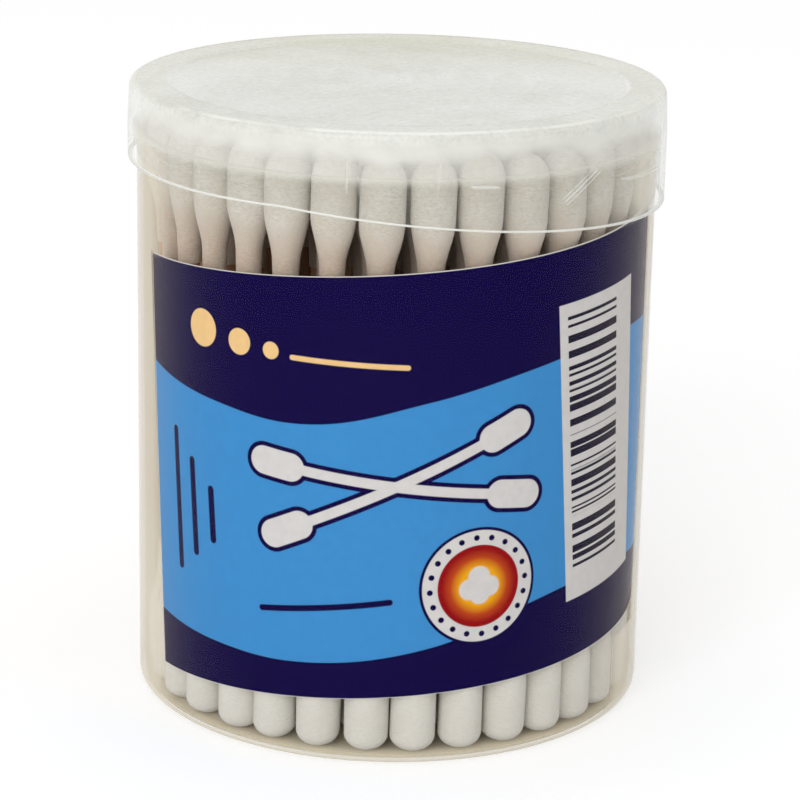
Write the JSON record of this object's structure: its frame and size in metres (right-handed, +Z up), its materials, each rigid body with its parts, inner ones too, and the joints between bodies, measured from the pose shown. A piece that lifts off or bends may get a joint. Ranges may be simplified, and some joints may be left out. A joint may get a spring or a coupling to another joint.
{
  "type": "cotton swab tub",
  "caption": "Clear round tub packed with upright cotton swabs, with a frosted push-on lid and a printed card label that lines the wall.",
  "frame": {"origin": "centre of the tub's underside, on the surface it stands on", "axes": "+Z up along the tub's axis, -Y towards the front of the label, +X to the right of the label"},
  "size_m": [0.0662, 0.0662, 0.0772],
  "materials": {
    "clear_tub": "clear thin moulded plastic, faintly warm, glossy",
    "frosted_lid": "milky translucent plastic, soft sheen, a few fine scratches",
    "label_card": "coated card with flat printed colour, blue and white",
    "cotton": "wound white cotton on thin wooden sticks"
  },
  "bodies": {
    "root": {"label_insert": "label_card", "swab_01": "cotton", "swab_02": "cotton", "swab_03": "cotton", "swab_04": "cotton", "swab_05": "cotton", "swab_06": "cotton", "swab_07": "cotton", "swab_08": "cotton", "swab_09": "cotton", "swab_10": "cotton", "swab_11": "cotton", "swab_12": "cotton", "swab_13": "cotton", "swab_14": "cotton", "swab_15": "cotton", "swab_16": "cotton", "swab_17": "cotton", "swab_18": "cotton", "swab_19": "cotton", "swab_20": "cotton", "swab_21": "cotton", "swab_22": "cotton", "swab_23": "cotton", "swab_24": "cotton", "swab_25": "cotton", "swab_26": "cotton", "swab_27": "cotton", "swab_28": "cotton", "swab_29": "cotton", "swab_30": "cotton", "swab_31": "cotton", "swab_centre": "cotton", "swab_ring_2": "cotton", "swab_ring_3": "cotton", "swab_ring_4": "cotton", "swab_ring_5": "cotton", "tub_body": "clear_tub"},
    "lid": {"lid": "frosted_lid"}
  },
  "joints": [
    {"name": "lid_lift", "type": "slide", "parent": "root", "child": "lid", "axis": [0, 0, 1], "range_m": [0, 0.03]}
  ]
}
